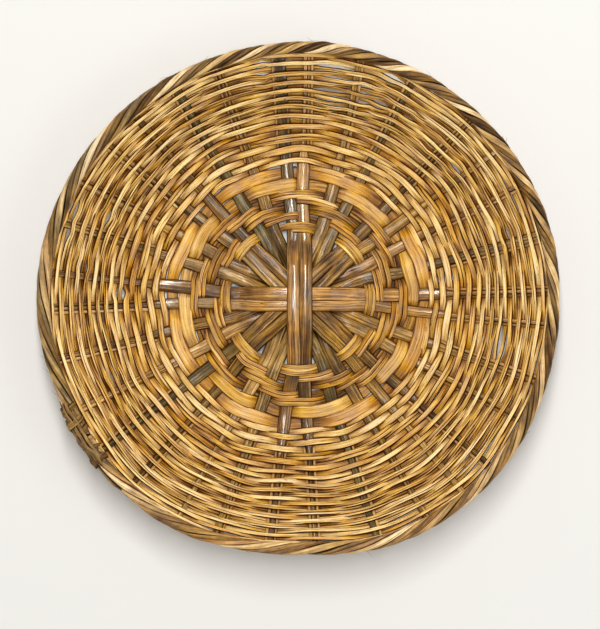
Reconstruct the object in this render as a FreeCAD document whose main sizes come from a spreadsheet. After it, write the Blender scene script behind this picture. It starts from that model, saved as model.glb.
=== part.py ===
import FreeCAD, Part
import math
import os
from FreeCAD import Vector

# Round winnowing basket, hand woven from split cane.  Millimetres, +Z up.
# Origin: centre of the underside, on the surface the basket stands on.
# Angles round the basket are in degrees, clockwise from +Y as seen looking down into the hollow.

# ---------------------------------------------------------------- driving dimensions
SIZES = [
    ("rim_radius", 244.6, "nominal radius of the rim hoop's centre line"),
    ("rim_rope_radius", 5.4, "radius over the twisted rim strands"),
    ("hoop_radius", 2.7, "radius of the hoop inside the rim"),
    ("rim_strand_gap", 0.12, "clearance between hoop and strands"),
    ("rim_strand_span", 83.0, "share of the rope taken by one strand, degrees"),
    ("rim_twist_pitch", 24.0, "degrees of rim for one full twist of a strand"),
    ("foot_radius", 118.0, "radius of the ring the basket stands on"),
    ("foot_mid_height", 3.48, "height of the middle of the weave at the foot ring"),
    ("full_slope_radius", 200.0, "radius where the wall reaches its full slope"),
    ("wall_slope", 37.0, "slope of the wall below the rim, degrees"),
    ("cane_thick_hub", 3.0, "thickness of the long canes at the hub"),
    ("cane_thick_rim", 2.2, "thickness of the long canes at the rim"),
    ("seat_trim", 0.2, "depth shaved off the lowest pair so it sits flat"),
    ("layer_hold_radius", 26.0, "the eight pairs are fully stacked inside this"),
    ("layer_free_radius", 60.0, "pairs lie side by side outside this"),
    ("layer_flat_radius", 80.0, "all canes are level outside this"),
    ("weaver_thick", 1.6, "thickness of the wall weavers"),
    ("ribbon_thick", 1.5, "thickness of the wide ribbons"),
    ("lashing_thick", 1.7, "thickness of the hub lashing"),
    ("weave_gap", 0.12, "clearance where two strands cross"),
    ("squeeze", 0.11, "share by which the lashing squeezes the pairs"),
    ("lashing_radius", 66.2, "radius of the first turn of the hub lashing"),
    ("lashing_pitch", 3.3, "step of the hub lashing per turn"),
    ("lashing_width", 3.0, "width of the hub lashing"),
    ("stake_width", 2.6, "width of a side stake"),
    ("stake_thick", 1.9, "thickness of a side stake"),
    ("stake_gap", 0.45, "space between neighbouring stakes"),
    ("stake_start_radius", 141.0, "side stakes are pushed in down to this radius"),
    ("splice_angle", 237.0, "place of the rim splice"),
    ("splice_half_span", 8.0, "half the length of the splice strip, degrees"),
    ("splice_turns", 6.0, "turns of lashing on the splice"),
]

# The hand-made outline is not quite round: it bulges towards the lower right and is
# flattened at the bottom.  Radius of the hoop's centre line every ten degrees from 0.
OUTLINE = [
    240.2, 240.0, 240.0, 240.6, 241.4, 241.8, 242.8, 244.0, 244.6, 244.6, 244.9, 245.8,
    247.6, 249.0, 249.4, 248.8, 247.0, 243.2, 240.1, 241.4, 244.2, 246.0, 245.4, 244.4,
    243.6, 243.2, 244.0, 244.8, 244.4, 243.0, 241.8, 240.6, 239.8, 239.0, 238.8, 239.4,
]

# Pairs of long canes, in order round the basket.
PAIR_COLUMNS = ("axis", "layer", "shift", "wide_ccw", "wide_cw")
# pair: axis direction, layer (0 lowest), side shift, width of the two canes at the hub
PAIRS = {
    "vertical": (359.9, 7.0, -1.0, 12.0, 12.0),
    "diagonal_023": (22.9, 3.0, 0.0, 11.8, 11.8),
    "diagonal_045": (47.6, 5.0, 0.0, 12.0, 11.4),
    "diagonal_069": (69.4, 2.0, 0.0, 11.4, 11.8),
    "horizontal": (90.3, 6.0, -2.4, 12.6, 10.4),
    "diagonal_113": (113.1, 1.0, 0.0, 11.8, 11.6),
    "diagonal_134": (134.2, 4.0, 0.0, 11.6, 11.8),
    "diagonal_155": (155.3, 0.0, 0.0, 11.6, 11.6),
}
PAIR_NAMES = list(PAIRS)

# Cane ends clockwise, one pair per line; the pairs run through twice, once per half turn.
END_COLUMNS = ("hub_angle", "rim_angle", "wall_width")
# angle near the hub, angle at the rim, width in the wall,
# side stakes on its counter-clockwise and clockwise side
ENDS = [
    (354.8, 355.3, 10.5, 1, 0), (2.2, 1.6, 4.4, 0, 2),
    (17.6, 14.3, 6.0, 0, 1), (27.7, 28.0, 7.0, 1, 0),
    (44.1, 44.2, 4.4, 1, 1), (53.4, 53.4, 6.4, 0, 0),
    (63.2, 63.0, 4.4, 0, 1), (76.2, 75.6, 8.8, 0, 1),
    (88.3, 88.4, 4.4, 1, 1), (96.6, 96.0, 4.4, 0, 1),
    (109.0, 109.6, 7.0, 1, 0), (118.3, 118.3, 6.0, 0, 1),
    (131.3, 131.2, 6.0, 0, 1), (139.6, 139.8, 7.0, 0, 0),
    (149.9, 149.8, 7.6, 0, 0), (161.8, 162.0, 7.0, 1, 0),
    (176.0, 176.0, 5.0, 1, 1), (186.6, 186.6, 5.6, 1, 1),
    (198.8, 199.3, 8.0, 1, 0), (208.3, 208.6, 5.4, 0, 0),
    (221.5, 221.8, 6.0, 1, 0), (232.2, 232.0, 7.0, 0, 1),
    (242.6, 242.8, 8.0, 0, 0), (255.6, 255.8, 6.0, 1, 0),
    (267.4, 267.3, 4.4, 1, 1), (275.4, 275.8, 7.0, 0, 0),
    (287.6, 287.4, 7.0, 0, 1), (297.9, 297.7, 7.0, 0, 1),
    (308.8, 309.0, 7.0, 1, 0), (317.7, 318.0, 8.0, 0, 0),
    (329.4, 329.6, 9.0, 1, 0), (340.7, 340.3, 4.4, 1, 1),
]
END_COUNT = len(ENDS)
CANE_COUNT = END_COUNT // 2
END_STEP = 360 / END_COUNT

# Twill rows round the hub, innermost first:
# name, radius, width, first of the two ends passed over, alias of the thickness
TWILL = [
    ("twill_row_1", 79.8, 5.4, 3, "weaver_thick"),
    ("twill_row_2", 88.0, 8.6, 2, "weaver_thick"),
    ("twill_row_3", 95.6, 5.2, 1, "weaver_thick"),
    ("twill_row_4", 102.3, 6.6, 0, "weaver_thick"),
    ("ribbon_inner", 112.2, 11.4, 3, "ribbon_thick"),
    ("ribbon_outer", 124.2, 11.8, 2, "ribbon_thick"),
]

# Wall rows: radius of every second row, innermost first.
WALL = [127.3, 137.8, 150.6, 162.7, 173.6, 182.6, 191.3, 198.8, 206.6, 214.7, 223.6, 232.0, 238.6]

doc = FreeCAD.newDocument("winnowing_basket")
sheet = doc.addObject("Spreadsheet::Sheet", "Dimensions")
aliases = []


def cell(alias, value, note=""):
    """Write one dimension on the next row of the sheet."""
    aliases.append(alias)
    row = str(len(aliases))
    sheet.set("A" + row, alias)
    sheet.set("B" + row, repr(value))
    sheet.setAlias("B" + row, alias)
    if note:
        sheet.set("C" + row, note)


def size(alias):
    return float(getattr(sheet, alias))


for entry in SIZES:
    cell(*entry)
for i, value in enumerate(OUTLINE):
    cell("outline_%03d" % (10 * i), value)
for pair, values in PAIRS.items():
    for column, value in zip(PAIR_COLUMNS, values):
        cell("pair_%s_%s" % (pair, column), value)
for i, values in enumerate(ENDS):
    for column, value in zip(END_COLUMNS, values):
        cell("end%02d_%s" % (i, column), value)
for name, radius, width, first_over, thick_alias in TWILL:
    cell(name + "_radius", radius)
    cell(name + "_width", width)
for i, value in enumerate(WALL):
    cell("wall_row_%02d_radius" % (2 * i), value)
doc.recompute()

RIM_RADIUS = size("rim_radius")
RIM_TABLE = [size("outline_%03d" % (10 * i)) for i in range(len(OUTLINE))]
ROPE_RADIUS = size("rim_rope_radius")
WALL_SLOPE = math.radians(size("wall_slope"))
FOOT_RADIUS, FOOT_HEIGHT = size("foot_radius"), size("foot_mid_height")
FULL_SLOPE_RADIUS = size("full_slope_radius")
HUB_THICK, RIM_THICK = size("cane_thick_hub"), size("cane_thick_rim")
WEAVE_GAP = size("weave_gap")
STAKE_WIDTH, STAKE_THICK = size("stake_width"), size("stake_thick")
STAKE_GAP, STAKE_START = size("stake_gap"), size("stake_start_radius")

# Gradual changes along a cane: radius where each starts, length it takes
THINNING = (90, 120)        # hub thickness to rim thickness
NARROWING = (126, 32)       # hub width to wall width
RIM_TAPER = (150, 90)       # slight taper towards the rim
SQUEEZE_ON = (42, 14)       # pairs pinched together by the hub lashing
SQUEEZE_OFF = (78, 12)      # and released outside it
FANNING = (56, 52)          # parallel to the pair's axis, then fanned out
RIM_DRIFT = (105, 135)      # hub angle to rim angle, at an even rate
RIM_TAPER_SHARE = 0.12      # part of the wall width lost in the rim taper
PAIR_HALF_GAP = 0.12        # half the space between the two canes of a pair

UP = Vector(0, 0, 1)


# ---------------------------------------------------------------- surface of the weave
def smooth(share):
    share = min(1.0, max(0.0, share))
    return share * share * (3 - 2 * share)


def ramp(radius, change):
    start, length = change
    return smooth((radius - start) / length)


def mid_height(radius):
    """Height of the middle of the weave: domed hub, level foot ring, rising wall."""
    if radius < FOOT_RADIUS:
        rise = 4 * HUB_THICK - size("seat_trim") - FOOT_HEIGHT
        return FOOT_HEIGHT + rise * (1 - (radius / FOOT_RADIUS) ** 2) ** 2
    run = FULL_SLOPE_RADIUS - FOOT_RADIUS
    steepness = math.tan(WALL_SLOPE)
    share = (radius - FOOT_RADIUS) / run
    if share < 1:
        return FOOT_HEIGHT + run * steepness * (share ** 3 - share ** 4 / 2)
    return FOOT_HEIGHT + run * steepness / 2 + (radius - FULL_SLOPE_RADIUS) * steepness


def slope(radius):
    return mid_height(radius + 0.5) - mid_height(radius - 0.5)


def rim_radius(angle):
    """Radius of the hoop's centre line, a Catmull-Rom curve through the outline table."""
    place = (angle % 360.0) / 10.0
    i = int(place)
    share = place - i
    before, here, after, beyond = (RIM_TABLE[(i + j) % len(RIM_TABLE)] for j in (-1, 0, 1, 2))
    cubic = 3 * (here - after) + beyond - before
    square = 2 * before - 5 * here + 4 * after - beyond
    return here + 0.5 * share * (after - before + share * (square + share * cubic))


def on_weave(radius, angle, lift=0.0):
    """Point at a height above the middle of the weave, and the surface normal there.

    The plan is round at the hub and takes on the rim's uneven outline towards the edge.
    """
    turn = math.radians(angle)
    uneven = radius * (1 + (rim_radius(angle) / RIM_RADIUS - 1) * (radius / RIM_RADIUS) ** 2)
    steep = slope(radius)
    normal = Vector(-steep * math.sin(turn), -steep * math.cos(turn), 1).normalize()
    point = Vector(uneven * math.sin(turn), uneven * math.cos(turn), mid_height(radius))
    return point + normal * lift, normal


# ---------------------------------------------------------------- course of the long canes
def pair_of(end):
    return PAIR_NAMES[end % CANE_COUNT // 2]


def pair_size(end, column):
    return size("pair_%s_%s" % (pair_of(end), column))


def end_size(end, column):
    return size("end%02d_%s" % (end, column))


def is_ccw(end):
    """A pair's first end and the second end half a turn on belong to the same cane."""
    return end % 2 == (0 if end < CANE_COUNT else 1)


def squeezed(radius):
    """Canes are pinched together where the hub lashing binds them."""
    return 1 - size("squeeze") * ramp(radius, SQUEEZE_ON) * (1 - ramp(radius, SQUEEZE_OFF))


def cane_thick(radius):
    return HUB_THICK + (RIM_THICK - HUB_THICK) * ramp(radius, THINNING)


def cane_width(end, radius):
    hub_width = pair_size(end, "wide_ccw" if is_ccw(end) else "wide_cw")
    wall_width = end_size(end, "wall_width")
    width = hub_width + (wall_width - hub_width) * ramp(radius, NARROWING)
    return squeezed(radius) * width - RIM_TAPER_SHARE * wall_width * ramp(radius, RIM_TAPER)


def cane_side(end):
    """Sideways place of the cane in its pair, positive on the counter-clockwise side."""
    shift = pair_size(end, "shift")
    if is_ccw(end):
        return shift + pair_size(end, "wide_ccw") / 2 + PAIR_HALF_GAP
    return shift - pair_size(end, "wide_cw") / 2 - PAIR_HALF_GAP


def is_upper(end):
    return pair_size(end, "layer") >= 4


def pair_lift(end, radius):
    """Height of a pair above the middle of the weave: stacked at the hub, level outside."""
    stack = (pair_size(end, "layer") - 3.5) * HUB_THICK
    near = HUB_THICK / 2 if is_upper(end) else -HUB_THICK / 2
    hold, free = size("layer_hold_radius"), size("layer_free_radius")
    if radius < free:
        return stack + (near - stack) * ramp(radius, (hold, free - hold))
    return near * (1 - ramp(radius, (free, size("layer_flat_radius") - free)))


def cane_angle(end, radius):
    """Angle of a cane's centre line at a radius: parallel to its pair, then fanning out."""
    offset = math.degrees(math.asin(cane_side(end) * squeezed(radius) / radius))
    axis = pair_size(end, "axis")
    straight = axis - offset if end < CANE_COUNT else axis + 180 + offset
    hub_angle, rim_angle = end_size(end, "hub_angle"), end_size(end, "rim_angle")
    start, length = RIM_DRIFT
    drift = min(1.0, max(0.0, (radius - start) / length))
    fan = hub_angle + (rim_angle - hub_angle) * drift
    difference = (fan - straight + 180) % 360 - 180
    return fan - difference * (1 - ramp(radius, FANNING))


# ---------------------------------------------------------------- strand solids
# Section corners as shares of half the width (across) and half the thickness (up)
HALF_ROUND = [(-1, -1), (1, -1), (1, -0.15), (0.6, 0.72), (0, 1), (-0.6, 0.72), (-1, -0.15)]
FLAT_STRIP = [(-0.86, -1), (0.86, -1), (1, 0.1), (0.72, 1), (-0.72, 1), (-1, 0.1)]


def edge_curve(points, params):
    curve = Part.BSplineCurve()
    curve.interpolate(Points=points, Parameters=params)
    return curve.toShape()


def solid_from_sections(sections):
    """Skin a list of polygons with the same number of corners and close both ends."""
    corners = len(sections[0])
    middles = [sum(section[1:], section[0]) * (1.0 / corners) for section in sections]
    params = [0.0]
    for here, after in zip(middles, middles[1:]):
        params.append(params[-1] + (after - here).Length)
    params = [param / params[-1] for param in params]
    rails = [edge_curve([section[i] for section in sections], params) for i in range(corners)]
    faces = [Part.makeRuledSurface(rails[i], rails[(i + 1) % corners]) for i in range(corners)]
    for section in (sections[0], sections[-1]):
        faces.append(Part.Face(Part.makePolygon(section + [section[0]])))
    shell = Part.Shell(faces)
    shell.sewShape()
    solid = Part.Solid(shell)
    if solid.Volume < 0:
        solid.reverse()
    return solid


def strand(path, profile):
    """path: list of (point, surface normal, width, thickness)."""
    sections = []
    for i, (point, normal, width, thick) in enumerate(path):
        before, after = path[max(0, i - 1)][0], path[min(len(path) - 1, i + 1)][0]
        along = (after - before).normalize()
        side = normal.cross(along).normalize()
        upward = along.cross(side)
        sections.append([point + side * (across * width / 2) + upward * (height * thick / 2)
                         for across, height in profile])
    return solid_from_sections(sections)


parts = []


def feature(name, shape):
    item = doc.addObject("Part::Feature", name)
    item.Shape = shape
    return item


def add_part(item, name):
    item.Label = name
    parts.append(item)


def add(name, shape):
    add_part(feature(name, shape), name)


# ---------------------------------------------------------------- long canes
# The canes stop just short of the rim rope, measured along the sloping wall.
RIM_STOP = RIM_RADIUS - (ROPE_RADIUS + 0.5) * math.cos(WALL_SLOPE)
ARM_RADII = [RIM_STOP, 229, 218, 206, 194, 182, 170, 158, 147, 137, 128, 119, 110, 101, 93, 86,
             79, 72, 66, 60, 53, 46, 39, 32, 26, 20]
HUB_STATIONS = (10.0, 0.0, -10.0)   # distances along the axis, between the two arms
GROUND_SIDE = 560


def arm_path(end, radii):
    path = []
    for radius in radii:
        point, normal = on_weave(radius, cane_angle(end, radius), pair_lift(end, radius))
        path.append((point, normal, cane_width(end, radius), cane_thick(radius)))
    return path


def hub_path(end):
    """The straight run of a cane across the centre of the basket."""
    axis = math.radians(pair_size(end, "axis"))
    along = Vector(math.sin(axis), math.cos(axis), 0)
    ccw_side = Vector(-math.cos(axis), math.sin(axis), 0)
    path = []
    for station in HUB_STATIONS:
        height = mid_height(abs(station)) + pair_lift(end, 0)
        point = along * station + ccw_side * cane_side(end) + Vector(0, 0, height)
        path.append((point, UP, cane_width(end, 0), cane_thick(0)))
    return path


def add_trimmed(name, body):
    """Cut away what would lie below the standing surface."""
    raw = feature(name + "_untrimmed", body)
    ground = doc.addObject("Part::Box", name + "_ground")
    ground.Length = ground.Width = GROUND_SIDE
    ground.setExpression("Height", "Dimensions.seat_trim * 40")
    ground.setExpression("Placement.Base.x", "-Length / 2")
    ground.setExpression("Placement.Base.y", "-Width / 2")
    ground.setExpression("Placement.Base.z", "-Height")
    cut = doc.addObject("Part::Cut", name)
    cut.Base, cut.Tool = raw, ground
    add_part(cut, name)


def add_cane(first):
    """One cane from rim to rim, given its end in the first half turn."""
    last = first + CANE_COUNT + (1 if is_ccw(first) else -1)
    path = arm_path(first, ARM_RADII) + hub_path(first) + arm_path(last, ARM_RADII[::-1])
    name = "cane_%s_%s" % (pair_of(first), "ccw" if is_ccw(first) else "cw")
    body = strand(path, HALF_ROUND)
    if pair_size(first, "layer") < 0.5:
        add_trimmed(name, body)
    else:
        add(name, body)


for first in range(CANE_COUNT):
    add_cane(first)

# ---------------------------------------------------------------- side stakes
STAKE_RADII = [STAKE_START, 150, 160, 171, 182, 193, 204, 215, 226, RIM_STOP]
STAKE_LIFT = -0.1
QUARTERS = ("top", "right", "bottom", "left")   # centred on +Y, +X, -Y and -X


def side_stake(end, side, order):
    """side: -1 counter-clockwise or 1 clockwise of the cane; order: 0 next to it."""
    path = []
    for radius in STAKE_RADII:
        offset = (cane_width(end, radius) / 2 + STAKE_GAP + STAKE_WIDTH / 2
                  + order * (STAKE_WIDTH + STAKE_GAP))
        angle = cane_angle(end, radius) + side * math.degrees(offset / radius)
        point, normal = on_weave(radius, angle, STAKE_LIFT)
        path.append((point, normal, STAKE_WIDTH, STAKE_THICK))
    return strand(path, HALF_ROUND)


def add_side_stakes():
    stakes = {quarter: [] for quarter in QUARTERS}
    for end in range(END_COUNT):
        quarter = QUARTERS[int(((end_size(end, "hub_angle") + 45) % 360) // 90)]
        for side, count in zip((-1, 1), ENDS[end][3:]):
            for order in range(count):
                stakes[quarter].append(side_stake(end, side, order))
    for quarter, solids in stakes.items():
        add("side_stakes_" + quarter, Part.makeCompound(solids))


add_side_stakes()


# ---------------------------------------------------------------- weaving
def woven(stops, width_at, thick):
    """stops: (angle, radius, half angle held, lift) in order round the basket."""
    stations = []
    for i, (angle, radius, half, lift) in enumerate(stops):
        stations += [(angle - half, radius, lift), (angle, radius, lift),
                     (angle + half, radius, lift)]
        if i + 1 == len(stops):
            break
        next_angle, next_radius, next_half, next_lift = stops[i + 1]
        low = angle + half
        span = next_angle - next_half - low
        if span > 0.8:
            # a long crossing gets one more station
            shares = (0.3, 0.7) if span * radius < 500 else (0.22, 0.5, 0.78)
            for share in shares:
                stations.append((low + span * share, radius + (next_radius - radius) * share,
                                 lift + (next_lift - lift) * smooth(share)))
    path = []
    for angle, radius, lift in stations:
        point, normal = on_weave(radius, angle, lift)
        path.append((point, normal, width_at(radius), thick))
    return strand(path, FLAT_STRIP)


def crossing_lift(end, radius, over, thick):
    clear = cane_thick(radius) / 2 + thick / 2 + WEAVE_GAP
    return pair_lift(end, radius) + (clear if over else -clear)


def unwrap(angle, near):
    """The same direction, in the turn closest to a given angle."""
    return angle + 360 * round((near - angle) / 360.0)


def held_angle(end, radius, share):
    return math.degrees(share * cane_width(end, radius) / radius)


def add_hub_lashing():
    """Three turns, over the upper pairs and under the lower ones."""
    thick = size("lashing_thick")
    stops = []
    near = -4.75
    for turn in range(3):
        for end in range(END_COUNT):
            lashing_turns = turn + end / END_COUNT
            radius = size("lashing_radius") + size("lashing_pitch") * lashing_turns
            angle = unwrap(cane_angle(end, radius), near)
            # held on the inner half of each cane, sloping away over its rounded outer edge
            inner = 1 if end % 2 == 0 else -1
            half = held_angle(end, radius, 0.25)
            lift = crossing_lift(end, radius, is_upper(end), thick)
            stops.append((angle + inner * 0.5 * half, radius, half, lift))
            near = angle + END_STEP
    add("hub_lashing", woven(stops, lambda _: size("lashing_width"), thick))


def add_twill_row(name, first_over, thick):
    """A closed row, over two ends and under two."""
    radius, width = size(name + "_radius"), size(name + "_width")
    start = (first_over + 2) % 4
    stops = []
    near = cane_angle(start, radius)
    for i in range(END_COUNT):
        end = (start + i) % END_COUNT
        over = (end - first_over) % 4 < 2
        angle = unwrap(cane_angle(end, radius), near)
        stops.append((angle, radius, held_angle(end, radius, 0.42),
                      crossing_lift(end, radius, over, thick)))
        near = angle + END_STEP
    # the two ends meet out of sight under the first cane
    angle, radius, half, lift = stops[0]
    stops[0] = (angle + 0.62 * half, radius, 0.3 * half, lift)
    stops.append((angle + 360 - 0.5 * half, radius, 0.4 * half, lift))
    add(name, woven(stops, lambda _: width, thick))


add_hub_lashing()
for name, radius, width, first_over, thick_alias in TWILL:
    add_twill_row(name, first_over, size(thick_alias))

# ---------------------------------------------------------------- wall
# One plain weave spiral over 31 working groups; the two top canes work as one.
GROUPS = [(0, 1)] + [(end, end) for end in range(2, END_COUNT)]   # first and last end
WALL_RADII = [size("wall_row_%02d_radius" % (2 * i)) for i in range(len(WALL))]
WALL_TURNS = 2 * (len(WALL) - 1)
SPIRAL_LEAD = 0.48          # turns added to the place along the spiral
WEAVER_CROSSINGS = 34       # groups crossed by one weaver
WEAVER_MAX_WIDTH = 6.3
ROW_FILL = 0.93             # share of the row pitch filled by a weaver


def wall_radius(turns):
    """Radius after a number of turns of the spiral."""
    place = min(max(turns / 2.0, 0.0), len(WALL_RADII) - 1.0)
    i = min(int(place), len(WALL_RADII) - 2)
    return WALL_RADII[i] + (WALL_RADII[i + 1] - WALL_RADII[i]) * (place - i)


def wall_turns(radius):
    """Inverse of wall_radius, carried on in a straight line past both ends."""
    i = 0
    while i < len(WALL_RADII) - 2 and radius > WALL_RADII[i + 1]:
        i += 1
    return 2 * (i + (radius - WALL_RADII[i]) / (WALL_RADII[i + 1] - WALL_RADII[i]))


def weaver_width(radius):
    rows_per_mm = (wall_turns(radius + 3) - wall_turns(radius - 3)) / 6.0
    return min(WEAVER_MAX_WIDTH, ROW_FILL / rows_per_mm * math.sqrt(1 + slope(radius) ** 2))


def group_span(group, radius):
    """Middle and half width, in degrees, of a group of canes with its side stakes."""
    first, last = GROUPS[group]
    staked = radius > STAKE_START - 3
    before, after = (ENDS[first][3], ENDS[last][4]) if staked else (0, 0)
    first_angle, last_angle = cane_angle(first, radius), cane_angle(last, radius)
    if group == 0:
        first_angle = unwrap(first_angle, 0)
    last_angle = unwrap(last_angle, first_angle)
    stake_step = STAKE_WIDTH + STAKE_GAP
    low = first_angle - math.degrees((cane_width(first, radius) / 2 + before * stake_step) / radius)
    high = last_angle + math.degrees((cane_width(last, radius) / 2 + after * stake_step) / radius)
    return (low + high) / 2, (high - low) / 2


def add_wall_weaver(number, start, stop):
    """One weaver from crossing start to crossing stop of the spiral."""
    thick = size("weaver_thick")
    stops = []
    for crossing in range(start, stop + 1):
        turn, group = divmod(crossing, len(GROUPS))
        rough_angle, _ = group_span(group, 200.0)
        radius = wall_radius(turn + SPIRAL_LEAD + rough_angle / 360.0)
        angle, half = group_span(group, radius)
        lift = crossing_lift(GROUPS[group][0], radius, crossing % 2 == 1, thick)
        stops.append((angle + 360 * turn, radius, 0.86 * half, lift))
    # ends are cut just short of the middle of the group where they stop
    for i, direction in ((0, 1), (-1, -1)):
        angle, radius, half, lift = stops[i]
        stops[i] = (angle + direction * 0.55 * half, radius, 0.4 * half, lift)
    add("wall_weaver_%02d" % number, woven(stops, weaver_width, thick))


crossings = WALL_TURNS * len(GROUPS)
for number, start in enumerate(range(0, crossings, WEAVER_CROSSINGS), 1):
    add_wall_weaver(number, start, min(start + WEAVER_CROSSINGS, crossings))

# ---------------------------------------------------------------- rim
RIM_HEIGHT = mid_height(RIM_RADIUS)
cell("rim_height", round(RIM_HEIGHT, 4), "height of the hoop centre line, follows the wall")
doc.recompute()

STRAND_COUNT = 4
STRAND_JOINT = 0.4          # degrees left free on each side of the splice angle
STEPS_PER_TWIST = 20


def rim_frame(angle):
    """Centre of the hoop and the outward direction at an angle round the rim."""
    turn, step = math.radians(angle), 0.5
    radius = rim_radius(angle)
    growth = (rim_radius(angle + step) - rim_radius(angle - step)) / (2 * math.radians(step))
    sine, cosine = math.sin(turn), math.cos(turn)
    along = Vector(radius * cosine + growth * sine, -radius * sine + growth * cosine, 0).normalize()
    return Vector(radius * sine, radius * cosine, RIM_HEIGHT), Vector(-along.y, along.x, 0)


def rim_section(angle, polar):
    """polar: (distance from the hoop line, degrees from outward towards up)."""
    centre, outward = rim_frame(angle)
    return [centre + outward * (distance * math.cos(math.radians(tilt)))
            + UP * (distance * math.sin(math.radians(tilt))) for distance, tilt in polar]


def add_hoop():
    line = Part.BSplineCurve()
    line.interpolate(Points=[rim_frame(90 + 5 * i)[0] for i in range(72)], PeriodicFlag=True)
    spine = feature("hoop_line", line.toShape())
    ring = doc.addObject("Part::Circle", "hoop_section")
    ring.setExpression("Radius", "Dimensions.hoop_radius")
    start, outward = rim_frame(90)
    ring.Placement = FreeCAD.Placement(start, FreeCAD.Rotation(UP, outward.cross(UP)))
    ring.setExpression("Placement.Base.z", "Dimensions.rim_height")
    doc.recompute()
    hoop = doc.addObject("Part::Sweep", "rim_hoop")
    hoop.Sections = [ring]
    hoop.Spine = (spine, ["Edge1"])
    hoop.Solid = True
    hoop.Frenet = False
    add_part(hoop, "rim_hoop")


def add_rim_strand(index):
    """One of the strands twisted round the hoop."""
    inside = size("hoop_radius") + size("rim_strand_gap")
    edge = ROPE_RADIUS - 0.75
    half = size("rim_strand_span") / 2
    pitch = size("rim_twist_pitch")
    arc = 360 - 2 * STRAND_JOINT
    start = size("splice_angle") + STRAND_JOINT
    steps = int(round(arc / pitch * STEPS_PER_TWIST))
    sections = []
    for i in range(steps + 1):
        angle = start + arc * i / steps
        tilt = 90 + 360.0 * index / STRAND_COUNT - 360.0 * (angle - start) / pitch
        sections.append(rim_section(angle, [
            (inside, tilt - half), (inside, tilt + half), (edge, tilt + half),
            (ROPE_RADIUS, tilt + half * 0.5), (ROPE_RADIUS + 0.1, tilt),
            (ROPE_RADIUS, tilt - half * 0.5), (edge, tilt - half)]))
    add("rim_strand_%d" % (index + 1), solid_from_sections(sections))


def add_splice_strip():
    """A short strip outside the rope, thinner and narrower towards its ends."""
    base = ROPE_RADIUS + 0.25
    sections = []
    for i in range(17):
        share = -1 + 2 * i / 16.0
        top = base + 2.3 - 1.3 * abs(share) ** 3
        half = 30 - 8 * share ** 2
        tilt = -18 + 10 * share
        sections.append(rim_section(size("splice_angle") + size("splice_half_span") * share, [
            (base, tilt - half), (base + 0.1, tilt), (base, tilt + half),
            (top - 0.5, tilt + half * 0.9), (top, tilt + half * 0.35),
            (top, tilt - half * 0.35), (top - 0.5, tilt - half * 0.9)]))
    add("rim_splice_strip", solid_from_sections(sections))


def add_splice_lashing():
    """One lashing wound round both rope and strip."""
    inside, crest = ROPE_RADIUS + 1.75, ROPE_RADIUS + 3.0
    edge = crest - 0.4
    reach = size("splice_half_span") * 0.62
    turns = size("splice_turns")
    steps = int(turns * 18)
    sections = []
    for i in range(steps + 1):
        point, outward = rim_frame(size("splice_angle") - reach + 2 * reach * i / steps)
        tilt = math.radians(200 + 360.0 * turns * i / steps)
        # the coil is eccentric so that it also passes over the strip
        centre = point + outward * 1.25 + UP * (-0.45)
        ray = outward * math.cos(tilt) + UP * math.sin(tilt)
        half_width = Vector(outward.y, -outward.x, 0) * 1.5
        sections.append([centre + ray * inside - half_width, centre + ray * inside + half_width,
                         centre + ray * edge + half_width, centre + ray * crest,
                         centre + ray * edge - half_width])
    add("rim_splice_lashing", solid_from_sections(sections))


add_hoop()
for index in range(STRAND_COUNT):
    add_rim_strand(index)
add_splice_strip()
add_splice_lashing()
doc.recompute()

# ---------------------------------------------------------------- checks and export
for item in doc.Objects:
    if "Invalid" in item.State or "Error" in item.State:
        raise RuntimeError("object failed: %s %s" % (item.Name, item.State))
for part in parts:
    shape = part.Shape
    if shape.isNull() or not shape.isValid() or not shape.Solids:
        raise RuntimeError("bad shape: %s" % part.Label)
    if any(solid.Volume <= 0 for solid in shape.Solids):
        raise RuntimeError("bad volume: %s" % part.Label)
os.makedirs("parts", exist_ok=True)
for part in parts:
    part.Shape.exportStep("parts/%s.step" % part.Label)
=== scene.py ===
"""A shallow round basket woven from cane, about half a metre across.

It stands on z = 0 around the Z axis and opens upward. The weave is laid out in mm and turned
into metres when a mesh is built; floor, lights and camera are in metres. Angles are in degrees,
clockwise seen from above: 0 is +Y (top), 90 is +X (right).
"""
import math
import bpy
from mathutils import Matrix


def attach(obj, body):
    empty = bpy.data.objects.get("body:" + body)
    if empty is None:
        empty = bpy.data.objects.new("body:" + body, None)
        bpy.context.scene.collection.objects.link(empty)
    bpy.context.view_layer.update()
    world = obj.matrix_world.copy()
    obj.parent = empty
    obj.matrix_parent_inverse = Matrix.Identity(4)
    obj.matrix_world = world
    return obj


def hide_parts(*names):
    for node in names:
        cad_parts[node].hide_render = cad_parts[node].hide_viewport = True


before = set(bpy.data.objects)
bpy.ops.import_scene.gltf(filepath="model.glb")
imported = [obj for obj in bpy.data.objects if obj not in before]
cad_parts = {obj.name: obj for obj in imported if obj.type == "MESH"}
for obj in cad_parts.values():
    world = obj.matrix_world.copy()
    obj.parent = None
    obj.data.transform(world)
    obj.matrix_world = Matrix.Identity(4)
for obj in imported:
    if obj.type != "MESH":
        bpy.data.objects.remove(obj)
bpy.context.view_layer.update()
import zlib
from collections import namedtuple

import bpy
import numpy as np
from mathutils import Vector

# ------------------------------------------------------------------ driving sizes
RIM_R = 244.6                       # nominal radius of the rim
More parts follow.
